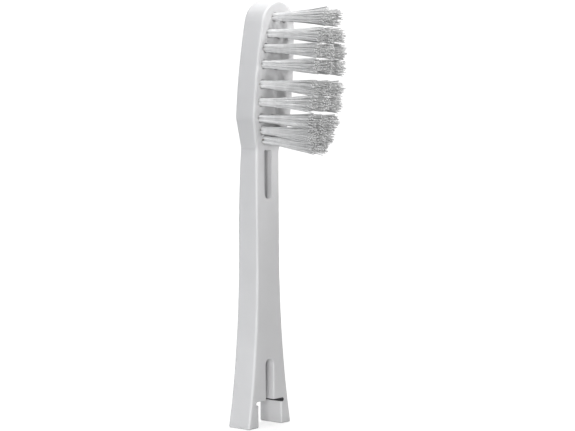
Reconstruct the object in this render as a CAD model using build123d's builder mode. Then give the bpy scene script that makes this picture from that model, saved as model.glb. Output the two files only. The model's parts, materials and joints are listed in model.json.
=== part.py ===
"""Head of an electric toothbrush: a moulded body with bristle tufts held by flat wire anchors.

Millimetres, +Z up, bristles towards -Y. The origin lies on the axis of the shaft bore,
in the plane of the two feet.
"""

import os
from math import atan, cos, degrees, dist, pi, radians, sin, tan

from build123d import *

# Base with its two legs
leg_width = 2.6
gap_width = 6.0
gap_height = 4.45
base_front = 2.38
base_width = gap_width + 2 * leg_width
flare_top = 27.7
notch_depth = 0.65
notch_height = 0.65
foot_chamfer = 0.15

# Neck, up to the foot of the head's shoulders
neck_top = 46.9
neck_width = 6.04
neck_front = 1.8
neck_back = 2.34
neck_bend_radius = 180.0

# Head plate, leaning forward above the neck
head_length = 25.0
head_width = 9.9
head_thickness = 4.2
head_back = 1.86
head_lean = 5.0
head_side_radius = 95.0
widest_rise = 4.6
shoulder_height = 5.0
shoulder_top_radius = 3.0
shoulder_foot_radius = 1.2
ramp_radius = 8.0

# Rounding of the outer edges, and of the slot and the legs inside them
front_edge_radius = 0.35
back_edge_radius = 0.5
opening_edge_radius = 0.2

# Bore for the handle's shaft, and the two openings in front of it
bore_diameter = 2.6
window_width = 1.9
window_height = 8.3
window_top_radius = 0.3
window_foot_flat = 0.1
slot_width = 2.0
slot_height = 6.95

# Bristle tufts
bristle_length = 11.5
trim_crest = 9.4
trim_radius = 110.0
hole_diameter = 1.6
hole_depth = 2.6
tuft_clearance = 0.07
tip_diameter = 2.8
tip_clearance = 0.12
tuft_sides = 12

# Flat wire anchors that hold the folded tufts in their holes
anchor_height = 1.0
anchor_thickness = 0.25
anchor_lift = 0.35
anchor_length = hole_diameter - anchor_thickness * tan(pi / tuft_sides)

# Rows of tufts from the top: share of the head's length, share of its half width at the
# outermost tuft, tufts across, then how far the tips fan out sideways and down
tuft_rows = [
    (0.110, 0.25, 2, 0.15, -0.35),
    (0.221, 0.47, 3, 0.25, -0.10),
    (0.321, 0.60, 3, 0.10, 0.0),
    (0.430, 0.64, 3, 0.05, -0.25),
    (0.562, 0.65, 3, 0.05, 0.0),
    (0.681, 0.65, 3, 0.05, -0.40),
    (0.789, 0.60, 3, 0.05, -0.20),
    (0.868, 0.43, 3, 0.30, 0.0),
    (0.934, 0.22, 2, 0.25, 0.25),
]

# Longer than any part of the outline, for cuts that pass right through
through = 2 * (base_width + bristle_length)

# Slack for telling places apart
tolerance = 0.01


# The plate's front plane, with its local y up the plate from the foot of the shoulders
plate = Plane(
    origin=(0, head_back - head_thickness / cos(radians(head_lean)), neck_top),
    x_dir=(1, 0, 0),
    z_dir=(0, -cos(radians(head_lean)), -sin(radians(head_lean))),
)


def plate_point(up, inward):
    """Side view place (y, z) of a point up the plate from its foot and in from its front."""
    point = plate.from_local_coords((0, up, -inward))
    return point.Y, point.Z


def head_side(up):
    """Half width of the head, on the arc of its side, at a place up the plate."""
    drop = up - shoulder_height - widest_rise
    return head_width / 2 - head_side_radius + (head_side_radius**2 - drop**2) ** 0.5


def spread(outermost, across):
    """Even places across a row, from -outermost to +outermost."""
    return [outermost * (2 * step / (across - 1) - 1) for step in range(across)]


def tip_width(tip):
    """Diameter that a tuft flares to at its tip, clear of the nearest other tip."""
    nearest = min(dist(tip, other) for other in tuft_tips if other != tip)
    return min(tip_diameter, nearest - tip_clearance)


def tuft_length(tip):
    """Free length of a tuft: the tips are trimmed to a shallow arch along the head."""
    return bristle_length - (head_length - trim_crest - tip[1]) ** 2 / (2 * trim_radius)


def in_front(edge):
    """Tell the edges on the bristle side from those on the back."""
    middle = edge @ 0.5
    return middle.Y < -max(middle.Z - neck_top, 0) * tan(radians(head_lean))


def beside_opening(edge):
    """Tell the front edges of the slot, and of the legs below their undercuts."""
    middle = edge @ 0.5
    slot_top = gap_height + slot_height
    across_slot = abs(middle.X) < slot_width / 2 + tolerance
    in_slot = across_slot and gap_height + tolerance < middle.Z < slot_top + tolerance
    on_leg = abs(abs(middle.X) - gap_width / 2) < tolerance and middle.Z < gap_height - notch_height
    return in_slot or on_leg


# Foot and tip of each tuft, on the plate and on the plane of the tips
tuft_feet = []
tuft_tips = []
for down, outward, across, fan_side, fan_down in tuft_rows:
    up = (1 - down) * head_length
    outermost = outward * head_width / 2
    for place in spread(outermost, across):
        tuft_feet.append((place, up))
        tuft_tips.append((place + fan_side * place / outermost, up - fan_down))

# Rounded top of the head: the arc on the centre line that runs on from the side arcs
rise = head_length - shoulder_height - widest_rise
half_head = head_width / 2
side_reach = half_head**2 + rise**2
top_radius = (head_side_radius * half_head - side_reach / 2) / (head_side_radius - rise)
join_slope = (rise - top_radius) / (head_side_radius - top_radius)
join_up = head_length - top_radius * (1 - join_slope)
side_middle = (shoulder_height + join_up) / 2

# Moulded body: the base and neck, and the leaning head, trimmed to the side profile
with BuildPart() as body:
    with BuildSketch(Plane.XZ):
        with BuildLine():
            TangentArc((neck_width / 2, flare_top), (base_width / 2, 0), tangent=(0, -1))
            Polyline((neck_width / 2, flare_top), (neck_width / 2, neck_top), (0, neck_top))
            Line((0, 0), (base_width / 2, 0))
            mirror(about=Plane.YZ)
        make_face()
    extrude(amount=through, both=True)

    with BuildSketch(plate) as outline:
        with BuildLine():
            Polyline(
                (0, -neck_width),
                (neck_width / 2, -neck_width),
                (neck_width / 2, 0),
                (head_side(shoulder_height), shoulder_height),
            )
            side = ThreePointArc(
                (head_side(shoulder_height), shoulder_height),
                (head_side(side_middle), side_middle),
                (head_side(join_up), join_up),
            )
            TangentArc(side @ 1, (0, head_length), tangent=side % 1)
            mirror(about=Plane.YZ)
        make_face()
        shoulders = outline.vertices().filter_by_position(Axis.Y, shoulder_height, shoulder_height)
        fillet(shoulders, shoulder_top_radius)
        shoulder_feet = outline.vertices().filter_by_position(Axis.Y, 0, 0)
        fillet(shoulder_feet, shoulder_foot_radius)
    extrude(amount=through, both=True)

    bend_height = neck_top - (neck_back - head_back) / tan(radians(head_lean))
    over_top = head_length + head_thickness
    with BuildSketch(Plane.YZ) as profile:
        with BuildLine():
            Polyline(
                (-base_front, 0),
                (-neck_front, neck_top),
                plate_point(shoulder_height, 0),
                plate_point(over_top, 0),
                plate_point(over_top, head_thickness),
                (neck_back, bend_height),
                (neck_back, 0),
                close=True,
            )
        make_face()
        ramp_top = plate_point(shoulder_height, 0)[1]
        front_corners = profile.vertices().filter_by_position(Axis.Y, neck_top, ramp_top)
        fillet(front_corners, ramp_radius)
        back_corner = profile.vertices().filter_by_position(Axis.Y, bend_height, bend_height)
        fillet(back_corner, neck_bend_radius)
    extrude(amount=through, both=True, mode=Mode.INTERSECT)

    # The long edges run up the sides and round the head's top, in front and behind
    long_edges = body.edges().filter_by(Axis.X, reverse=True).filter_by(Axis.Y, reverse=True)
    long_edges = long_edges.filter_by(Axis(plate.origin, plate.z_dir), reverse=True)
    front_edges = long_edges.filter_by(in_front)
    back_edges = long_edges.filter_by(in_front, reverse=True)
    fillet(front_edges, front_edge_radius)
    fillet(back_edges, back_edge_radius)

    # Gap between the legs, with an undercut along each leg just below its ceiling
    with BuildSketch(Plane.XZ):
        Rectangle(gap_width, gap_height, align=(Align.CENTER, Align.MIN))
        with Locations((0, gap_height - notch_height / 2)):
            SlotOverall(gap_width + 2 * notch_depth, notch_height)
    extrude(amount=through, both=True, mode=Mode.SUBTRACT)

    # Shaft bore, blind at the window's top end
    with BuildSketch(Plane.XY.offset(gap_height)):
        Circle(bore_diameter / 2)
    extrude(amount=neck_top - gap_height, mode=Mode.SUBTRACT)

    # Window into the bore below the tufts
    with BuildSketch(Plane.XZ) as window:
        with Locations((0, neck_top)):
            Rectangle(window_width, window_height, align=(Align.CENTER, Align.MAX))
        fillet(window.vertices().group_by(Axis.Y)[-1], window_top_radius)
        fillet(window.vertices().group_by(Axis.Y)[0], (window_width - window_foot_flat) / 2)
    extrude(amount=through, mode=Mode.SUBTRACT)

    # Slot from the gap up the front of the base, round at its top
    slot_run = slot_height - slot_width / 2
    with BuildSketch(Plane.XZ):
        with Locations((0, gap_height + slot_run / 2)):
            SlotCenterToCenter(slot_run, slot_width, rotation=90)
    extrude(amount=through, mode=Mode.SUBTRACT)

    # Front edges of the slot and of the legs' inner faces
    front_normal = (0, -neck_top, base_front - neck_front)
    front_face = body.faces().filter_by(Plane((0, -base_front, 0), z_dir=front_normal))
    inner_edges = front_face.edges().filter_by(beside_opening)
    fillet(inner_edges, opening_edge_radius)

    # Tuft holes, with as many sides as the tufts
    with BuildSketch(plate.offset(-hole_depth)):
        with Locations(*tuft_feet):
            RegularPolygon(hole_diameter / 2, tuft_sides)
    extrude(amount=hole_depth + head_thickness, mode=Mode.SUBTRACT)

    # Feet with broken edges
    foot_edges = body.edges().group_by(Axis.Z)[0]
    chamfer(foot_edges, foot_chamfer)

body.part.label = "brush_body"

# Anchors: short flat wires across the hole bottoms
with BuildPart() as anchors:
    with BuildSketch(plate.offset(anchor_lift - hole_depth)):
        with Locations(*tuft_feet):
            Rectangle(anchor_length, anchor_thickness)
    extrude(amount=anchor_height)
anchors.part.label = "tuft_anchors"

# Tufts: each a many-sided bundle in its hole, folded round its anchor and flaring to its tip
foot_radius = hole_diameter / 2 - tuft_clearance
tufts = []
for foot, tip in zip(tuft_feet, tuft_tips):
    root = plate.from_local_coords((*foot, 0))
    stem = plate.from_local_coords((*tip, tuft_length(tip))) - root
    lean = Plane(origin=root, x_dir=plate.x_dir, z_dir=stem)
    flare = (tip_width(tip) / 2 - foot_radius) * cos(pi / tuft_sides)
    with BuildPart() as tuft:
        with BuildSketch(lean):
            RegularPolygon(foot_radius, tuft_sides)
        extrude(amount=stem.length)
        ends = tuft.faces().filter_by(lean)
        sides = tuft.faces() - ends
        draft(sides, lean, -degrees(atan(flare / stem.length)))
        with BuildSketch(plate.offset(-hole_depth)):
            with Locations(foot):
                RegularPolygon(foot_radius, tuft_sides)
        extrude(amount=hole_depth)
        with BuildSketch(plate.offset(anchor_lift - hole_depth)):
            with Locations(foot):
                Rectangle(hole_diameter, anchor_thickness)
        extrude(amount=anchor_height, mode=Mode.SUBTRACT)
    tuft.part.label = f"tuft_{len(tufts) + 1:02d}"
    tufts.append(tuft.part)

# Files, one for each piece
os.makedirs("parts", exist_ok=True)
export_step(body.part, "parts/brush_body.step")
export_step(anchors.part, "parts/tuft_anchors.step")
for piece in tufts:
    export_step(piece, f"parts/{piece.label}.step")
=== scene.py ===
"""Looks of an electric toothbrush head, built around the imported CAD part.

The moulded body and the wire anchors are the CAD solids with their own finishes. Each bristle
tuft is a bundle of separate nylon filaments, folded round its anchor, that stands in the space
of its CAD solid. Lengths are metres, +Z is up and the bristles point towards -Y.
"""

from __future__ import annotations

import json
import logging
import math
from dataclasses import dataclass, field
from enum import Enum, IntEnum

import bpy
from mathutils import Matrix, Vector

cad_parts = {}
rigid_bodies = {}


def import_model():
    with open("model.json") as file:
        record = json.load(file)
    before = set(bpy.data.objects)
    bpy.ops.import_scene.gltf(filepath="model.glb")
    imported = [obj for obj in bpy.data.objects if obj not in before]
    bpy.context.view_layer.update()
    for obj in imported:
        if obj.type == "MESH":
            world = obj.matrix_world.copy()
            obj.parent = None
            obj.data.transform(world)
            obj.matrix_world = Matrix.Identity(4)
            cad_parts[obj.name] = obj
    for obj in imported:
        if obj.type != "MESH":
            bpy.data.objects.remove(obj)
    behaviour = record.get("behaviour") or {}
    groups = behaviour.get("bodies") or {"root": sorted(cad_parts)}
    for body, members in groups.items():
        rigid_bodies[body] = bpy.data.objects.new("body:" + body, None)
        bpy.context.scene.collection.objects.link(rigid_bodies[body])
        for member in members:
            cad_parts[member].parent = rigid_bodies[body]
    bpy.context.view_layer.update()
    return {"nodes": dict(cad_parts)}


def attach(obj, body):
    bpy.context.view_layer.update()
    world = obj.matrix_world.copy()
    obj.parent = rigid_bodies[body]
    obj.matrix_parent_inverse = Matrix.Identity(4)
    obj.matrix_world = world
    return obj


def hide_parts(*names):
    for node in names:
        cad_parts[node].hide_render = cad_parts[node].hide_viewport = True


LOG = logging.getLogger("brush_head")
MM = 0.001
ROOT_BODY = "root"
TUFT_PREFIX = "tuft_"

WHITE = (1.0, 1.0, 1.0, 1.0)
GOLDEN_SHARE = 0.618034
HEAD_CONE = math.radians(12)
BASE_CONE = math.radians(11)

# Sockets that nodes with several kinds of value can't give by name.
MIX_FIRST, MIX_SECOND, MIX_RESULT = 6, 7, 2
RANDOM_LOW, RANDOM_HIGH, RANDOM_RESULT = 2, 3, 1


class Slot(Enum):
    """Material slots of the part's record that new pieces take."""

    BRISTLE = "bristle_nylon"


class Node(Enum):
    """CAD nodes that keep their own solids."""

    BODY = "brush_body"
    ANCHORS = "tuft_anchors"


class Beam(Enum):
    """Kinds of lamp in the studio."""

    SOFTBOX = "AREA"
    SPOT = "SPOT"


class Draw(IntEnum):
    """Shifts of a tuft's seed, so that each use draws its own random numbers."""

    LENGTH = 1
    TONE = 3
    SIDE_STRAY = 5
    UP_STRAY = 7
    PHASE = 20


def srgb(red: int, green: int, blue: int) -> tuple[float, float, float, float]:
    """Turn an 8-bit display colour into the linear colour that a shader takes.

    Args:
        red: Red level, 0 to 255.
        green: Green level, 0 to 255.
        blue: Blue level, 0 to 255.

    Returns:
        Linear red, green, blue and an alpha of 1.
    """
    levels = [level / 255 for level in (red, green, blue)]
    linear = [v / 12.92 if v <= 0.04045 else ((v + 0.055) / 1.055) ** 2.4 for v in levels]
    return (*linear, 1.0)


class NodeSheet:
    """Short ways to add and join the nodes of one tree."""

    def __init__(self, tree: bpy.types.NodeTree) -> None:
        """Keep the tree that the nodes go into."""
        self.tree = tree

    def add(self, kind: str, inputs: dict | None = None, **settings: object) -> bpy.types.Node:
        """Add a node, set its properties and feed its inputs.

        Args:
            kind: Type name of the node.
            inputs: Sockets by name or number, each with a value or an output to join.
            **settings: Properties of the node itself.

        Returns:
            The new node.
        """
        node = self.tree.nodes.new(kind)
        for name, value in settings.items():
            setattr(node, name, value)
        for key, value in (inputs or {}).items():
            self.feed(node.inputs[key], value)
        return node

    def feed(self, socket: bpy.types.NodeSocket, value: object) -> None:
        """Join an output to a socket, or set the socket's own value.

        Args:
            socket: Input that takes the value.
            value: Output socket, or a plain value.
        """
        if isinstance(value, bpy.types.NodeSocket):
            self.tree.links.new(value, socket)
        else:
            socket.default_value = value

    def math(self, operation: str, *values: object, clamp: bool = False) -> bpy.types.NodeSocket:
        """Add a number operation.

        Args:
            operation: Name of the operation, such as ADD.
            *values: Its operands, plain or from other nodes.
            clamp: Keep the result between 0 and 1.

        Returns:
            The result's socket.
        """
        inputs = dict(enumerate(values))
        node = self.add("ShaderNodeMath", inputs, operation=operation, use_clamp=clamp)
        return node.outputs[0]

    def vector(self, operation: str, *values: object) -> bpy.types.NodeSocket:
        """Add a vector operation.

        Args:
            operation: Name of the operation, such as ADD.
            *values: Its vector operands, plain or from other nodes.

        Returns:
            The resulting vector's socket.
        """
        node = self.add("ShaderNodeVectorMath", dict(enumerate(values)), operation=operation)
        return node.outputs[0]

    def scaled(self, vector: object, factor: object) -> bpy.types.NodeSocket:
        """Add a vector times a number.

        Args:
            vector: Vector, plain or from another node.
            factor: Number, plain or from another node.

        Returns:
            The scaled vector's socket.
        """
        node = self.add("ShaderNodeVectorMath", {0: vector, "Scale": factor}, operation="SCALE")
        return node.outputs[0]

    def length(self, vector: object) -> bpy.types.NodeSocket:
        """Add the length of a vector.

        Args:
            vector: Vector, plain or from another node.

        Returns:
            The length's socket.
        """
        node = self.add("ShaderNodeVectorMath", {0: vector}, operation="LENGTH")
        return node.outputs["Value"]

    def span(
        self, value: object, low: object, high: object, to_low: object, to_high: object
    ) -> bpy.types.NodeSocket:
        """Map a number from one span to another, held at both ends.

        Args:
            value: Number to map.
            low: Start of its span.
            high: End of its span.
            to_low: Result at the start.
            to_high: Result at the end.

        Returns:
            The mapped number's socket.
        """
        inputs = {0: value, 1: low, 2: high, 3: to_low, 4: to_high}
        return self.add("ShaderNodeMapRange", inputs, clamp=True).outputs[0]

    def blend(self, factor: object, first: object, second: object) -> bpy.types.NodeSocket:
        """Mix two colours.

        Args:
            factor: Share of the second colour.
            first: First colour.
            second: Second colour.

        Returns:
            The mixed colour's socket.
        """
        node = self.add("ShaderNodeMix", data_type="RGBA")
        self.feed(node.inputs["Factor"], factor)
        self.feed(node.inputs[MIX_FIRST], first)
        self.feed(node.inputs[MIX_SECOND], second)
        return node.outputs[MIX_RESULT]

    def attribute(self, name: str) -> bpy.types.NodeSocket:
        """Add a number that the mesh carries and return its socket."""
        return self.add("ShaderNodeAttribute", attribute_name=name).outputs["Fac"]

    def object_place(self) -> bpy.types.NodeSocket:
        """Add the Object coordinates of the shaded point and return their socket."""
        return self.add("ShaderNodeTexCoord").outputs["Object"]


def shader_group(name: str, inputs: tuple[str, ...], outputs: tuple[str, ...]) -> NodeSheet:
    """Start a shader node group that takes and gives plain numbers.

    Args:
        name: Name of the group.
        inputs: Names of its inputs.
        outputs: Names of its outputs.

    Returns:
        The sheet of its tree.
    """
    tree = bpy.data.node_groups.new(name, "ShaderNodeTree")
    for names, way in ((inputs, "INPUT"), (outputs, "OUTPUT")):
        for socket in names:
            tree.interface.new_socket(socket, in_out=way, socket_type="NodeSocketFloat")
    return NodeSheet(tree)


@dataclass(frozen=True)
class SurfaceGrain:
    """Shared shader effect: cloudy tone and fine grain of a surface, on Object coordinates."""

    name: str = "surface_grain"
    cloud_detail: float = 3.0
    cloud_roughness: float = 0.55
    cloud_low: float = 0.3
    cloud_high: float = 0.7
    grain_detail: float = 2.0
    grain_roughness: float = 0.6

    def group(self) -> bpy.types.NodeTree:
        """Build the node group once.

        Returns:
            The group, with the inputs Cloud Scale and Grain Scale and the outputs Tone and Height.
        """
        existing = bpy.data.node_groups.get(self.name)
        if existing:
            return existing
        sheet = shader_group(self.name, ("Cloud Scale", "Grain Scale"), ("Tone", "Height"))
        given = sheet.add("NodeGroupInput").outputs
        place = sheet.object_place()
        cloud = sheet.add(
            "ShaderNodeTexNoise",
            {
                "Vector": place,
                "Scale": given["Cloud Scale"],
                "Detail": self.cloud_detail,
                "Roughness": self.cloud_roughness,
            },
        ).outputs[0]
        grain = sheet.add(
            "ShaderNodeTexNoise",
            {
                "Vector": place,
                "Scale": given["Grain Scale"],
                "Detail": self.grain_detail,
                "Roughness": self.grain_roughness,
            },
        ).outputs[0]
        tone = sheet.span(cloud, self.cloud_low, self.cloud_high, 0.0, 1.0)
        sheet.add("NodeGroupOutput", {"Tone": tone, "Height": grain})
        return sheet.tree

    def place(self, sheet: NodeSheet, cloud_scale: float, grain_scale: float) -> bpy.types.Node:
        """Place the group in a material.

        Args:
            sheet: Sheet of the material's tree.
            cloud_scale: Clouds per metre.
            grain_scale: Grains per metre.

        Returns:
            The group's node.
        """
        node = sheet.add("ShaderNodeGroup", node_tree=self.group())
        node.inputs["Cloud Scale"].default_value = cloud_scale
        node.inputs["Grain Scale"].default_value = grain_scale
        return node


@dataclass(frozen=True)
class UndercutPaintedShade:
    """Shader effect: painted shade, a dark colour inside the legs' undercuts, on Object
    coordinates.

    Attributes:
        name: Name of the node group.
        gap_width: Width of the gap between the legs.
        depth: How far an undercut goes into its leg.
        height: Height of an undercut, whose far end is round.
        ceiling: Height of the gap's ceiling over the feet.
        edge: Width of the shade's soft edge.
    """

    name: str = "undercut_painted_shade"
    gap_width: float = 6.0 * MM
    depth: float = 0.65 * MM
    height: float = 0.65 * MM
    ceiling: float = 4.45 * MM
    edge: float = 0.03 * MM

    def group(self) -> bpy.types.NodeTree:
        """Build the node group once.

        Returns:
            The group, with the output Mask: 1 inside an undercut and 0 outside.
        """
        existing = bpy.data.node_groups.get(self.name)
        if existing:
            return existing
        sheet = shader_group(self.name, (), ("Mask",))
        place = sheet.add("ShaderNodeSeparateXYZ", {0: sheet.object_place()}).outputs
        inner = self.gap_width / 2
        radius = self.height / 2
        outward = sheet.math("ABSOLUTE", place["X"])
        past_centre = sheet.math("SUBTRACT", outward, inner + self.depth - radius)
        past_centre = sheet.math("MAXIMUM", past_centre, 0.0)
        upward = sheet.math("SUBTRACT", place["Z"], self.ceiling - radius)
        flat = sheet.add("ShaderNodeCombineXYZ", {"X": past_centre, "Y": upward}).outputs[0]
        within = sheet.span(sheet.length(flat), radius, radius + self.edge, 1.0, 0.0)
        past_face = sheet.span(outward, inner, inner + self.edge, 0.0, 1.0)
        sheet.add("NodeGroupOutput", {"Mask": sheet.math("MULTIPLY", within, past_face)})
        return sheet.tree

    def place(self, sheet: NodeSheet) -> bpy.types.NodeSocket:
        """Place the group in a material and return the mask's socket."""
        return sheet.add("ShaderNodeGroup", node_tree=self.group()).outputs["Mask"]


def new_material(name: str) -> tuple[bpy.types.Material, NodeSheet, bpy.types.Node]:
    """Start a material with a bare Principled shader.

    Args:
        name: Name of the finish.

    Returns:
        The material, the sheet of its tree and its shader node.
    """
    material = bpy.data.materials.new(name)
    material.use_nodes = True
    sheet = NodeSheet(material.node_tree)
    return material, sheet, material.node_tree.nodes["Principled BSDF"]


def add_bump(
    sheet: NodeSheet, shader: bpy.types.Node, grain: bpy.types.Node, height: float
) -> None:
    """Let the fine grain of a surface tilt its normals.

    Args:
        sheet: Sheet of the material's tree.
        shader: The material's shader.
        grain: Node of the surface grain.
        height: Height of the grain.
    """
    inputs = {"Strength": 1.0, "Distance": height, "Height": grain.outputs["Height"]}
    sheet.feed(shader.inputs["Normal"], sheet.add("ShaderNodeBump", inputs).outputs[0])


def set_glow(shader: bpy.types.Node, weight: float, depth: float) -> None:
    """Let light spread under a surface, evenly in all colours.

    Args:
        shader: The material's shader.
        weight: Share of the light that goes in.
        depth: How far it spreads.
    """
    shader.inputs["Subsurface Weight"].default_value = weight
    shader.inputs["Subsurface Radius"].default_value = (1.0, 1.0, 1.0)
    shader.inputs["Subsurface Scale"].default_value = depth


@dataclass(frozen=True)
class SatinPlastic:
    """Light grey moulded plastic with a fine satin grain and painted shade in the legs' undercuts.
    """

    name: str = "satin_plastic"
    pale: tuple[int, int, int] = (212, 212, 213)
    deep: tuple[int, int, int] = (208, 208, 209)
    # Painted shade: the dark colour that the insides of the legs' undercuts take.
    undercut: tuple[int, int, int] = (70, 70, 72)
    smooth: float = 0.44
    rough: float = 0.52
    cloud_scale: float = 160.0
    grain_scale: float = 5200.0
    grain_height: float = 0.006 * MM
    specular: float = 0.4
    glow: float = 0.4
    glow_depth: float = 2.2 * MM

    def material(self) -> bpy.types.Material:
        """Build the finish.

        Returns:
            The material.
        """
        material, sheet, shader = new_material(self.name)
        grain = SurfaceGrain().place(sheet, self.cloud_scale, self.grain_scale)
        tone = grain.outputs["Tone"]
        colour = sheet.blend(tone, srgb(*self.deep), srgb(*self.pale))
        # Painted shade: inside the legs' undercuts the colour turns to the dark undercut colour.
        colour = sheet.blend(UndercutPaintedShade().place(sheet), colour, srgb(*self.undercut))
        sheet.feed(shader.inputs["Base Color"], colour)
        roughness = sheet.span(tone, 0.0, 1.0, self.smooth, self.rough)
        sheet.feed(shader.inputs["Roughness"], roughness)
        add_bump(sheet, shader, grain, self.grain_height)
        shader.inputs["Specular IOR Level"].default_value = self.specular
        set_glow(shader, self.glow, self.glow_depth)
        return material


@dataclass(frozen=True)
class BristleNylon:
    """Silvery white nylon, a little different from filament to filament, darker at the ends by
    painted shade.

    Attributes:
        name: Name of the material.
        pale: Colour of the palest filaments.
        deep: Colour of the deepest ones.
        skew: Power on a filament's own tone. Under 1, most filaments are pale.
        grain_share: Share of the cloudy tone beside the filament's own one.
        smooth: Roughness of the deepest filaments.
        rough: Roughness of the palest ones.
        specular: Strength of the shine.
        cloud_scale: Clouds per metre.
        grain_scale: Grains per metre.
        tone_attribute: Mesh attribute with the filament's own tone.
        shade_attribute: Mesh attribute with the painted shade along it, as a share of the colour.
        glow: Share of the light that goes in.
        glow_depth: How far it spreads.
    """

    name: str = "bristle_nylon"
    pale: tuple[int, int, int] = (254, 254, 254)
    deep: tuple[int, int, int] = (118, 118, 119)
    skew: float = 0.22
    grain_share: float = 0.15
    smooth: float = 0.45
    rough: float = 0.60
    specular: float = 0.25
    cloud_scale: float = 900.0
    grain_scale: float = 9000.0
    tone_attribute: str = "filament_tone"
    shade_attribute: str = "filament_painted_shade"
    glow: float = 0.35
    glow_depth: float = 0.2 * MM

    def material(self) -> bpy.types.Material:
        """Build the finish.

        Returns:
            The material.
        """
        material, sheet, shader = new_material(self.name)
        grain = SurfaceGrain().place(sheet, self.cloud_scale, self.grain_scale)
        own = sheet.math("POWER", sheet.attribute(self.tone_attribute), self.skew)
        own = sheet.math("MULTIPLY", own, 1.0 - self.grain_share)
        tone = sheet.math("MULTIPLY_ADD", grain.outputs["Tone"], self.grain_share, own)
        colour = sheet.blend(tone, srgb(*self.deep), srgb(*self.pale))
        # Painted shade along each filament, darker towards its end.
        colour = sheet.scaled(colour, sheet.attribute(self.shade_attribute))
        sheet.feed(shader.inputs["Base Color"], colour)
        roughness = sheet.span(tone, 0.0, 1.0, self.smooth, self.rough)
        sheet.feed(shader.inputs["Roughness"], roughness)
        shader.inputs["Specular IOR Level"].default_value = self.specular
        set_glow(shader, self.glow, self.glow_depth)
        return material


@dataclass(frozen=True)
class AnchorBrass:
    """Flat brass wire, dull from drawing."""

    name: str = "anchor_brass"
    pale: tuple[int, int, int] = (214, 186, 120)
    deep: tuple[int, int, int] = (176, 146, 88)
    smooth: float = 0.28
    rough: float = 0.48
    cloud_scale: float = 2400.0
    grain_scale: float = 12000.0
    grain_height: float = 0.004 * MM

    def material(self) -> bpy.types.Material:
        """Build the finish.

        Returns:
            The material.
        """
        material, sheet, shader = new_material(self.name)
        grain = SurfaceGrain().place(sheet, self.cloud_scale, self.grain_scale)
        tone = grain.outputs["Tone"]
        colour = sheet.blend(tone, srgb(*self.deep), srgb(*self.pale))
        sheet.feed(shader.inputs["Base Color"], colour)
        roughness = sheet.span(tone, 0.0, 1.0, self.smooth, self.rough)
        sheet.feed(shader.inputs["Roughness"], roughness)
        add_bump(sheet, shader, grain, self.grain_height)
        shader.inputs["Metallic"].default_value = 1.0
        return material


@dataclass(frozen=True)
class WhiteFloor:
    """Pale floor that shows white to the camera and still takes the soft shadow.

    Attributes:
        name: Name of the material.
        colour: Colour of the floor in the light.
        dullness: Share of that colour where the haze is deepest.
        haze_scale: Clouds of haze per metre.
        roughness: Roughness of the floor.
        near_lift: White added for the camera close to the part.
        near: Distance up to which that holds.
        far: Distance from which the floor is plain white.
    """

    name: str = "white_floor"
    colour: tuple[int, int, int] = (218, 218, 218)
    dullness: float = 0.99
    haze_scale: float = 3.0
    roughness: float = 0.9
    near_lift: float = 0.62
    near: float = 0.12
    far: float = 0.70

    def material(self) -> bpy.types.Material:
        """Build the finish.

        Returns:
            The material.
        """
        material, sheet, shader = new_material(self.name)
        place = sheet.object_place()
        noise = {"Vector": place, "Scale": self.haze_scale}
        haze = sheet.add("ShaderNodeTexNoise", noise).outputs[0]
        pale = srgb(*self.colour)
        dull = (*(level * self.dullness for level in pale[:3]), 1.0)
        sheet.feed(shader.inputs["Base Color"], sheet.blend(haze, dull, pale))
        shader.inputs["Roughness"].default_value = self.roughness
        shader.inputs["Specular IOR Level"].default_value = 0.0
        lift = sheet.span(sheet.length(place), self.near, self.far, self.near_lift, 1.0)
        seen = sheet.add("ShaderNodeLightPath").outputs["Is Camera Ray"]
        shader.inputs["Emission Color"].default_value = WHITE
        sheet.feed(shader.inputs["Emission Strength"], sheet.math("MULTIPLY", seen, lift))
        return material


def finish_solid(solid: bpy.types.Object, material: bpy.types.Material) -> bpy.types.Object:
    """Give a CAD solid one material in place of its own.

    Args:
        solid: CAD object.
        material: Its new material.

    Returns:
        The same object.
    """
    solid.data.materials.clear()
    solid.data.materials.append(material)
    return solid


@dataclass
class MouldedBody:
    """The one-piece base, neck and head plate: the CAD solid with its finish."""

    finish: SatinPlastic = field(default_factory=SatinPlastic)

    def dress(self, nodes: dict[str, bpy.types.Object]) -> bpy.types.Object:
        """Give the CAD solid its finish and return it."""
        return finish_solid(nodes[Node.BODY.value], self.finish.material())


@dataclass
class WireAnchors:
    """The flat wires at the bottoms of the tuft holes: the CAD solids with their finish."""

    finish: AnchorBrass = field(default_factory=AnchorBrass)

    def dress(self, nodes: dict[str, bpy.types.Object]) -> bpy.types.Object:
        """Give the CAD solids their finish and return their object."""
        return finish_solid(nodes[Node.ANCHORS.value], self.finish.material())


@dataclass
class TuftSpace:
    """Where one tuft stands, read from its CAD solid.

    Attributes:
        foot: Middle of the tuft in the plane of the plate.
        tip: Middle of its tip.
        foot_radius: Radius at the bottom of its hole.
        tip_radius: Radius at its tip.
    """

    foot: Vector
    tip: Vector
    foot_radius: float
    tip_radius: float

    @classmethod
    def read(
        cls, solid: bpy.types.Object, normal: Vector, hole_depth: float, band: float
    ) -> TuftSpace:
        """Measure a tuft's solid along the normal of the plate.

        Args:
            solid: CAD object of the tuft.
            normal: Direction in which the bristles point, square to the plate.
            hole_depth: Depth of the tuft's hole.
            band: How close to an end a corner counts as the end's.

        Returns:
            The measured space.
        """
        corners = [vertex.co.copy() for vertex in solid.data.vertices]
        heights = [corner.dot(normal) for corner in corners]
        low = [c for c, h in zip(corners, heights) if h < min(heights) + band]
        high = [c for c, h in zip(corners, heights) if h > max(heights) - band]
        bottom = sum(low, Vector()) / len(low)
        tip = sum(high, Vector()) / len(high)
        return cls(
            foot=bottom + normal * hole_depth,
            tip=tip,
            foot_radius=max((c - bottom).length for c in low),
            tip_radius=max((c - tip).length for c in high),
        )


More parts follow.
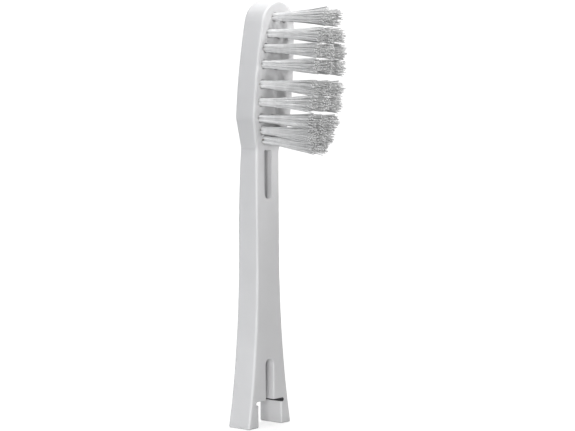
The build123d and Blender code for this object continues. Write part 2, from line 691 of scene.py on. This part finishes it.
@dataclass(frozen=True)
class FilamentPoint:
    """Node outputs that say where a point lies on its filament.

    Attributes:
        number: Number of the filament.
        side: Which of its two legs: -1 or 1.
        leg: Number of the leg among those of the tuft.
        at_end: 1 at the leg's last point and 0 before it.
        height: Height over the plate, below 0 in the hole.
        reach: Share of the tuft's free length.
    """

    number: bpy.types.NodeSocket
    side: bpy.types.NodeSocket
    leg: bpy.types.NodeSocket
    at_end: bpy.types.NodeSocket
    height: bpy.types.NodeSocket
    reach: bpy.types.NodeSocket


@dataclass
class TuftField:
    """All bristle tufts: nylon filaments folded in two round their anchors.

    Attributes:
        head_lean: Angle by which the plate leans from upright.
        hole_depth: Depth of the tuft holes.
        hole_bottom_gap: Gap between the folds and the holes' bottoms.
        end_band: How close to a solid's end a corner counts as the end's.
        anchor_gap: Half the gap that the anchor keeps open between the legs.
        anchor_top: Depth of the anchor's top under the plate.
        gap_end: Depth under the plate at which that gap has closed.
        filament_radius: Radius of a filament.
        filament_sides: Sides of its section.
        filaments: Filaments of a tuft, each with two legs.
        stations: Points along a filament.
        climb_power: Power that draws the points together towards the fold.
        foot_pinch: Share of the foot's free radius that the filaments fill.
        flare_power: Power of the flare along the tuft.
        tip_start: Where the short end of a filament begins.
        tip_share: Share of the radius at the very end.
        shade_start: Share of the length at which the painted shade towards the end begins.
        shade_end: Share of the colour that the painted shade leaves just before the end.
        end_tone: Share of the colour that the painted shade leaves on the end itself.
        splay: Spread of the tip over that of the CAD solid.
        least_tip: Least radius of a tip.
        longest: Share of the solid's length that the longest legs have.
        uneven: How much shorter the shortest legs are.
        stray: How far a leg's tip may stray, sideways and upwards.
        wave: Height of a leg's bend.
        seed: Seed of the first tuft.
        seed_step: Step from one tuft's seed to the next.
        finish: Material of the filaments.
        tree_name: Name of the geometry node tree.
    """

    head_lean: float = math.radians(5.0)
    hole_depth: float = 2.6 * MM
    hole_bottom_gap: float = 0.12 * MM
    end_band: float = 0.1 * MM
    anchor_gap: float = 0.22 * MM
    anchor_top: float = 1.25 * MM
    gap_end: float = 0.1 * MM
    filament_radius: float = 0.08 * MM
    filament_sides: int = 6
    filaments: int = 38
    stations: int = 16
    climb_power: float = 1.2
    foot_pinch: float = 0.93
    flare_power: float = 1.25
    tip_start: float = 0.985
    tip_share: float = 0.9
    shade_start: float = 0.84
    shade_end: float = 0.24
    end_tone: float = 0.82
    splay: float = 1.18
    least_tip: float = 1.4 * MM
    longest: float = 0.997
    uneven: float = 0.022
    stray: float = 0.22 * MM
    wave: float = 0.06 * MM
    seed: int = 11
    seed_step: int = 40
    finish: BristleNylon = field(default_factory=BristleNylon)
    tree_name: str = "folded_bristle_tuft"

    @property
    def normal(self) -> Vector:
        """Direction in which the bristles point, square to the plate."""
        return Vector((0.0, -math.cos(self.head_lean), -math.sin(self.head_lean)))

    @property
    def up_plate(self) -> Vector:
        """Direction up the plate."""
        return Vector((0.0, -math.sin(self.head_lean), math.cos(self.head_lean)))

    def tree(self) -> bpy.types.NodeTree:
        """Build the geometry node tree that makes one tuft.

        Returns:
            The tree, with named inputs for its sizes and a seed.
        """
        tree = bpy.data.node_groups.new(self.tree_name, "GeometryNodeTree")
        kinds = {
            "Foot": "NodeSocketVector",
            "Tip": "NodeSocketVector",
            "Normal": "NodeSocketVector",
            "Up Plate": "NodeSocketVector",
            "Foot Radius": "NodeSocketFloat",
            "Tip Radius": "NodeSocketFloat",
            "Length": "NodeSocketFloat",
            "Filament Radius": "NodeSocketFloat",
            "Filaments": "NodeSocketInt",
            "Seed": "NodeSocketInt",
            "Finish": "NodeSocketMaterial",
        }
        for name, kind in kinds.items():
            tree.interface.new_socket(name, in_out="INPUT", socket_type=kind)
        tree.interface.new_socket("Tuft", in_out="OUTPUT", socket_type="NodeSocketGeometry")
        sheet = NodeSheet(tree)
        given = sheet.add("NodeGroupInput").outputs
        point = self.point(sheet, given)
        strands = self.strands(sheet, given["Filaments"])
        placing = {"Geometry": strands, "Position": self.position(sheet, given, point)}
        strands = sheet.add("GeometryNodeSetPosition", placing).outputs[0]
        strands = self.toned(sheet, strands, given["Seed"], point)
        sheet.add("NodeGroupOutput", {"Tuft": self.skin(sheet, strands, given, point)})
        return tree

    def strands(self, sheet: NodeSheet, count: object) -> bpy.types.NodeSocket:
        """Add one straight curve for each filament.

        Args:
            sheet: Sheet of the tree.
            count: Number of filaments.

        Returns:
            The curves' socket.
        """
        line = sheet.add("GeometryNodeCurvePrimitiveLine", {"End": (0.0, 0.0, 1.0)}).outputs[0]
        stations = {"Curve": line, "Count": self.stations}
        line = sheet.add("GeometryNodeResampleCurve", stations).outputs[0]
        points = sheet.add("GeometryNodePoints", {"Count": count}).outputs[0]
        placing = {"Points": points, "Instance": line}
        copies = sheet.add("GeometryNodeInstanceOnPoints", placing).outputs[0]
        return sheet.add("GeometryNodeRealizeInstances", {0: copies}).outputs[0]

    def point(self, sheet: NodeSheet, given: object) -> FilamentPoint:
        """Add the numbers that say where a point lies on its filament.

        Args:
            sheet: Sheet of the tree.
            given: The tree's inputs.

        Returns:
            The numbers' sockets.
        """
        index = sheet.add("GeometryNodeInputIndex").outputs[0]
        number = sheet.math("DIVIDE", sheet.math("ADD", index, 0.5), self.stations)
        number = sheet.math("FLOOR", number)
        along = sheet.add("GeometryNodeSplineParameter").outputs["Factor"]
        signed = sheet.math("MULTIPLY_ADD", along, 2.0, -1.0)
        side = sheet.math("SIGN", signed)
        leg = sheet.math("MULTIPLY_ADD", number, 2.0, sheet.math("GREATER_THAN", side, 0.0))

        # The last station but one lies just before the tip, so the very end is short.
        fold = 1.0 / (self.stations - 1)
        climb = sheet.span(sheet.math("ABSOLUTE", signed), fold, 1.0, 0.0, 1.0)
        at_end = sheet.math("GREATER_THAN", climb, 1.0 - fold)
        before_end = (self.stations - 2) / (self.stations - 4)
        climb = sheet.math("MULTIPLY", climb, before_end * self.tip_start, clamp=True)
        climb = sheet.math("POWER", climb, self.climb_power)

        length = self.leg_length(sheet, given["Length"], leg, given["Seed"])
        bottom = -(self.hole_depth - self.hole_bottom_gap)
        height = sheet.span(climb, 0.0, 1.0, bottom, length)
        reach = sheet.math("DIVIDE", height, given["Length"], clamp=True)
        return FilamentPoint(number, side, leg, at_end, height, reach)

    def random(
        self, sheet: NodeSheet, number: object, seed: object, low: float, high: float, shift: int
    ) -> bpy.types.NodeSocket:
        """Add a random number that is fixed for each filament or leg.

        Args:
            sheet: Sheet of the tree.
            number: Number of the filament or leg.
            seed: Seed of the tuft.
            low: Least value.
            high: Greatest value.
            shift: Added to the seed, so that each use draws its own numbers.

        Returns:
            The random number's socket.
        """
        node = sheet.add("FunctionNodeRandomValue", data_type="FLOAT")
        node.inputs[RANDOM_LOW].default_value = low
        node.inputs[RANDOM_HIGH].default_value = high
        sheet.feed(node.inputs["ID"], number)
        sheet.feed(node.inputs["Seed"], sheet.math("ADD", seed, int(shift)))
        return node.outputs[RANDOM_RESULT]

    def leg_length(
        self, sheet: NodeSheet, full: object, leg: object, seed: object
    ) -> bpy.types.NodeSocket:
        """Add the free length of a leg, a little short of the full one.

        Args:
            sheet: Sheet of the tree.
            full: Length of the tuft's solid.
            leg: Number of the leg.
            seed: Seed of the tuft.

        Returns:
            The length's socket.
        """
        shortest = self.longest - self.uneven
        share = self.random(sheet, leg, seed, shortest, self.longest, Draw.LENGTH)
        return sheet.math("MULTIPLY", full, share)

    def position(
        self, sheet: NodeSheet, given: object, point: FilamentPoint
    ) -> bpy.types.NodeSocket:
        """Add a point's place: along the tuft, across it, and its drift.

        Args:
            sheet: Sheet of the tree.
            given: The tree's inputs.
            point: Where the point lies on its filament.

        Returns:
            The place's socket.
        """
        spine = sheet.vector("SUBTRACT", given["Tip"], given["Foot"])
        spine = sheet.scaled(spine, point.reach)
        sunk = sheet.scaled(given["Normal"], sheet.math("MINIMUM", point.height, 0.0))
        middle = sheet.vector("ADD", given["Foot"], sheet.vector("ADD", spine, sunk))
        across = self.cross_place(sheet, given, point)
        drift = self.drift(sheet, given["Seed"], point)
        return sheet.vector("ADD", middle, sheet.vector("ADD", across, drift))

    def cross_place(
        self, sheet: NodeSheet, given: object, point: FilamentPoint
    ) -> bpy.types.NodeSocket:
        """Add a filament's place across the tuft, on a spiral that fills one half of the disc.

        Args:
            sheet: Sheet of the tree.
            given: The tree's inputs.
            point: Where the point lies on its filament.

        Returns:
            The sideways offset's socket.
        """
        share = sheet.math("DIVIDE", sheet.math("ADD", point.number, 0.5), given["Filaments"])
        disc = sheet.math("SQRT", share)
        turn = sheet.math("FRACT", sheet.math("MULTIPLY", point.number, GOLDEN_SHARE))
        turn = sheet.math("MULTIPLY", turn, math.pi)
        across = sheet.math("MULTIPLY", disc, sheet.math("COSINE", turn))
        outward = sheet.math("MULTIPLY", disc, sheet.math("SINE", turn))
        flare = sheet.math("POWER", point.reach, self.flare_power)
        inset = sheet.math("SUBTRACT", given["Foot Radius"], given["Filament Radius"])
        inset = sheet.math("MULTIPLY", inset, self.foot_pinch)
        rim = sheet.math("SUBTRACT", given["Tip Radius"], given["Filament Radius"])
        radius = sheet.span(flare, 0.0, 1.0, inset, rim)
        gap = sheet.span(point.height, -self.anchor_top, -self.gap_end, self.anchor_gap, 0.0)
        free = sheet.math("SUBTRACT", radius, gap)
        upward = sheet.math("MULTIPLY_ADD", outward, free, gap)
        upward = sheet.math("MULTIPLY", upward, point.side)
        sideways = sheet.math("MULTIPLY", across, radius)
        flat = sheet.add("ShaderNodeCombineXYZ", {"X": sideways}).outputs[0]
        return sheet.vector("ADD", flat, sheet.scaled(given["Up Plate"], upward))

    def drift(
        self, sheet: NodeSheet, seed: object, point: FilamentPoint
    ) -> bpy.types.NodeSocket:
        """Add the small bend and stray of a leg, growing towards its tip.

        Args:
            sheet: Sheet of the tree.
            seed: Seed of the tuft.
            point: Where the point lies on its filament.

        Returns:
            The offset's socket.
        """
        ramp = sheet.math("MULTIPLY", point.reach, point.reach)
        parts = []
        for shift in (Draw.SIDE_STRAY, Draw.UP_STRAY):
            stray = self.random(sheet, point.leg, seed, -self.stray, self.stray, shift)
            phase = self.random(sheet, point.leg, seed, 0.0, math.tau, shift + Draw.PHASE)
            swing = sheet.math("MULTIPLY_ADD", point.reach, math.tau, phase)
            bend = sheet.math("MULTIPLY", sheet.math("SINE", swing), self.wave)
            parts.append(sheet.math("MULTIPLY", sheet.math("ADD", stray, bend), ramp))
        return sheet.add("ShaderNodeCombineXYZ", {"X": parts[0], "Z": parts[1]}).outputs[0]

    def toned(
        self, sheet: NodeSheet, strands: object, seed: object, point: FilamentPoint
    ) -> bpy.types.NodeSocket:
        """Store each filament's tone and the painted shade along it, for the finish.

        Args:
            sheet: Sheet of the tree.
            strands: The filaments' curves.
            seed: Seed of the tuft.
            point: Where the point lies on its filament.

        Returns:
            The curves' socket.
        """
        tone = self.random(sheet, point.number, seed, 0.0, 1.0, Draw.TONE)
        # Painted shade: the colour darkens over the last part of each leg, and the end itself is
        # less dark.
        shade = sheet.span(point.reach, self.shade_start, self.tip_start, 1.0, self.shade_end)
        end = sheet.math("MULTIPLY", point.at_end, self.end_tone)
        shade = sheet.math("MAXIMUM", shade, end)
        stored = {self.finish.tone_attribute: tone, self.finish.shade_attribute: shade}
        for name, value in stored.items():
            strands = sheet.add(
                "GeometryNodeStoreNamedAttribute",
                {"Geometry": strands, "Name": name, "Value": value},
                data_type="FLOAT",
                domain="POINT",
            ).outputs[0]
        return strands

    def skin(
        self, sheet: NodeSheet, strands: object, given: object, point: FilamentPoint
    ) -> bpy.types.NodeSocket:
        """Give the curves their round section and finish, as plain mesh.

        Args:
            sheet: Sheet of the tree.
            strands: The filaments' curves.
            given: The tree's inputs.
            point: Where the point lies on its filament.

        Returns:
            The mesh's socket.
        """
        thin = sheet.span(point.at_end, 0.0, 1.0, 1.0, self.tip_share)
        section = {"Resolution": self.filament_sides, "Radius": given["Filament Radius"]}
        ring = sheet.add("GeometryNodeCurvePrimitiveCircle", section).outputs[0]
        sweep = {"Curve": strands, "Profile Curve": ring, "Scale": thin, "Fill Caps": True}
        mesh = sheet.add("GeometryNodeCurveToMesh", sweep).outputs[0]
        mesh = sheet.add("GeometryNodeSetShadeSmooth", {0: mesh}).outputs[0]
        mesh = sheet.add("GeometryNodeRealizeInstances", {0: mesh}).outputs[0]
        painted = {0: mesh, "Material": given["Finish"]}
        return sheet.add("GeometryNodeSetMaterial", painted).outputs[0]

    def values(self, space: TuftSpace, number: int) -> dict[str, object]:
        """Collect one tuft's sizes and seed.

        Args:
            space: Where the tuft stands.
            number: Number of the tuft, from 0.

        Returns:
            Values for the tree's inputs, by name.
        """
        return {
            "Foot": space.foot,
            "Tip": space.tip,
            "Normal": self.normal,
            "Up Plate": self.up_plate,
            "Foot Radius": space.foot_radius,
            "Tip Radius": max(self.splay * space.tip_radius, self.least_tip),
            "Length": (space.tip - space.foot).length,
            "Filament Radius": self.filament_radius,
            "Filaments": self.filaments,
            "Seed": self.seed + self.seed_step * number,
        }

    def build(self, nodes: dict[str, bpy.types.Object]) -> list[bpy.types.Object]:
        """Make the filaments of every tuft in the place of its CAD solid.

        Args:
            nodes: CAD objects by name.

        Returns:
            The tufts.
        """
        tree = self.tree()
        finish = self.finish.material()
        names = sorted(name for name in nodes if name.startswith(TUFT_PREFIX))
        names.remove(Node.ANCHORS.value)
        tufts = []
        for number, name in enumerate(names):
            space = TuftSpace.read(nodes[name], self.normal, self.hole_depth, self.end_band)
            values = self.values(space, number) | {"Finish": finish}
            tuft = self.grow(f"{name}_filaments", tree, values)
            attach(tuft, ROOT_BODY)
            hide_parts(name)
            tufts.append(tuft)
        return tufts

    def grow(
        self, name: str, tree: bpy.types.NodeTree, values: dict[str, object]
    ) -> bpy.types.Object:
        """Run the tree with one tuft's values and keep the result as a plain mesh.

        Args:
            name: Name of the tuft's object.
            tree: Geometry node tree.
            values: The tree's inputs by name.

        Returns:
            The tuft.
        """
        items = tree.interface.items_tree
        sockets = {item.name: item.identifier for item in items if item.in_out == "INPUT"}
        seedling = bpy.data.objects.new(f"{name}_tree", bpy.data.meshes.new(f"{name}_tree"))
        bpy.context.scene.collection.objects.link(seedling)
        modifier = seedling.modifiers.new("filaments", "NODES")
        modifier.node_group = tree
        for key, value in values.items():
            modifier[sockets[key]] = value
        graph = bpy.context.evaluated_depsgraph_get()
        mesh = bpy.data.meshes.new_from_object(seedling.evaluated_get(graph), depsgraph=graph)
        mesh.name = name
        seedling.modifiers.remove(modifier)
        bpy.data.objects.remove(seedling)
        tuft = bpy.data.objects.new(name, mesh)
        bpy.context.scene.collection.objects.link(tuft)
        return tuft


@dataclass(frozen=True)
class Lamp:
    """One soft studio lamp: an even disc, or a spot with a soft edge.

    Attributes:
        name: Name of the lamp.
        place: Where it stands.
        aim_height: Height on the part's axis that it points at.
        size: Width of its shining face.
        watts: Its power.
        beam: Kind of lamp.
        cone: Angle of a spot's whole cone.
        colour: Colour of its light.
    """

    name: str
    place: tuple[float, float, float]
    aim_height: float
    size: float
    watts: float
    beam: Beam = Beam.SOFTBOX
    cone: float = 0.0
    colour: tuple[float, float, float] = (1.0, 1.0, 1.0)

    def build(self) -> bpy.types.Object:
        """Make the lamp.

        Returns:
            The lamp.
        """
        lamp = bpy.data.lights.new(self.name, self.beam.value)
        lamp.energy = self.watts
        lamp.color = self.colour
        if self.beam is Beam.SOFTBOX:
            lamp.shape = "DISK"
            lamp.size = self.size
        else:
            lamp.shadow_soft_size = self.size / 2
            lamp.spot_size = self.cone
            lamp.spot_blend = 1.0
        holder = bpy.data.objects.new(self.name, lamp)
        holder.location = self.place
        towards = Vector((0.0, 0.0, self.aim_height)) - Vector(self.place)
        holder.rotation_euler = towards.to_track_quat("-Z", "Y").to_euler()
        holder.visible_camera = False
        bpy.context.scene.collection.objects.link(holder)
        return holder


@dataclass
class Studio:
    """Pale floor, white surroundings, soft lamps and the camera.

    Attributes:
        azimuth: Angle of the camera round the part, from the bristle side.
        distance: Distance of the camera from the part's axis.
        camera_height: Height of the camera over the feet.
        pitch: How far the camera looks down.
        focal_pixels: Focal length in pixels of the photograph.
        centre_column: Column of the photograph that the camera points at.
        image_width: Width of the photograph in pixels.
        sensor_width: Width of the camera's sensor in millimetres.
        clip_start: Least distance that the camera sees.
        floor_size: Width of the floor.
        floor_drop: Gap between the feet and the floor.
        ambient: Even light from all round.
        backdrop: White of the surroundings as the camera sees them.
        lamps: The lamps.
        floor_finish: Material of the floor.
    """

    azimuth: float = math.radians(50.0)
    distance: float = 250.0 * MM
    camera_height: float = 45.7 * MM
    pitch: float = math.radians(2.28)
    focal_pixels: float = 1470.0
    centre_column: float = 259.69
    image_width: int = 575
    sensor_width: float = 36.0
    clip_start: float = 10.0 * MM
    floor_size: float = 6.0
    floor_drop: float = 0.02 * MM
    ambient: float = 0.28
    backdrop: float = 1.1
    lamps: tuple[Lamp, ...] = (
        Lamp("key", (-0.45, -0.38, 0.07), 0.022, 0.26, 1.98),
        Lamp("left", (-0.40, 0.06, 0.12), 0.02, 0.30, 0.18, colour=(0.85, 0.92, 1.0)),
        Lamp("top", (0.04, 0.02, 0.45), 0.06, 0.24, 0.66),
        Lamp("back_fill", (0.34, 0.40, 0.12), 0.03, 0.36, 0.75),
        Lamp("head_right", (0.07, -0.10, 0.23), 0.064, 0.020, 0.88, Beam.SPOT, HEAD_CONE),
        Lamp("head_left", (-0.05, -0.12, 0.24), 0.064, 0.020, 0.74, Beam.SPOT, HEAD_CONE),
        Lamp("head_low", (0.03, -0.20, 0.03), 0.057, 0.024, 0.43, Beam.SPOT, HEAD_CONE),
        Lamp("base_left", (-0.42, -0.20, 0.03), 0.002, 0.05, 1.85, Beam.SPOT, BASE_CONE),
    )
    floor_finish: WhiteFloor = field(default_factory=WhiteFloor)

    def camera(self) -> bpy.types.Object:
        """Make the camera at the photograph's place.

        Returns:
            The camera.
        """
        lens = bpy.data.cameras.new("camera")
        lens.sensor_width = self.sensor_width
        lens.lens = self.sensor_width * self.focal_pixels / self.image_width
        lens.shift_x = 0.5 - self.centre_column / self.image_width
        lens.clip_start = self.clip_start
        camera = bpy.data.objects.new("camera", lens)
        camera.location = (
            -math.sin(self.azimuth) * self.distance,
            -math.cos(self.azimuth) * self.distance,
            self.camera_height,
        )
        camera.rotation_euler = (math.pi / 2 - self.pitch, 0.0, -self.azimuth)
        bpy.context.scene.collection.objects.link(camera)
        bpy.context.scene.camera = camera
        return camera

    def surroundings(self) -> bpy.types.World:
        """Make the white world that also gives the even part of the light.

        Returns:
            The world.
        """
        world = bpy.data.worlds.new("studio")
        world.use_nodes = True
        bpy.context.scene.world = world
        sheet = NodeSheet(world.node_tree)
        paths = sheet.add("ShaderNodeLightPath").outputs
        mirrored = sheet.math("MAXIMUM", paths["Is Glossy Ray"], paths["Is Transmission Ray"])
        strength = sheet.span(mirrored, 0.0, 1.0, self.ambient, 1.0)
        seen = sheet.math("MULTIPLY", paths["Is Camera Ray"], self.backdrop)
        sky = world.node_tree.nodes["Background"]
        sky.inputs["Color"].default_value = WHITE
        sheet.feed(sky.inputs["Strength"], sheet.math("MAXIMUM", strength, seen))
        return world

    def floor(self) -> bpy.types.Object:
        """Make the floor under the feet.

        Returns:
            The floor.
        """
        half = self.floor_size / 2
        ends = ((-half, -half), (half, -half), (half, half), (-half, half))
        corners = [(x, y, -self.floor_drop) for x, y in ends]
        mesh = bpy.data.meshes.new("floor")
        mesh.from_pydata(corners, [], [(0, 1, 2, 3)])
        mesh.materials.append(self.floor_finish.material())
        floor = bpy.data.objects.new("floor", mesh)
        bpy.context.scene.collection.objects.link(floor)
        return floor

    def build(self) -> None:
        """Make the whole studio."""
        bpy.context.scene.view_settings.view_transform = "Standard"
        self.camera()
        self.surroundings()
        self.floor()
        for lamp in self.lamps:
            lamp.build()


def main() -> None:
    """Load the frame, dress the solids, grow the tufts and set the studio."""
    logging.basicConfig(level=logging.INFO, format="%(name)s: %(message)s")
    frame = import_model()
    nodes = frame["nodes"]
    LOG.info("camera and studio")
    Studio().build()
    LOG.info("body: %s", MouldedBody().dress(nodes).name)
    LOG.info("anchors: %s", WireAnchors().dress(nodes).name)
    for tuft in TuftField().build(nodes):
        LOG.info("tuft: %s, %d faces", tuft.name, len(tuft.data.polygons))


if __name__ == "__main__":
    main()
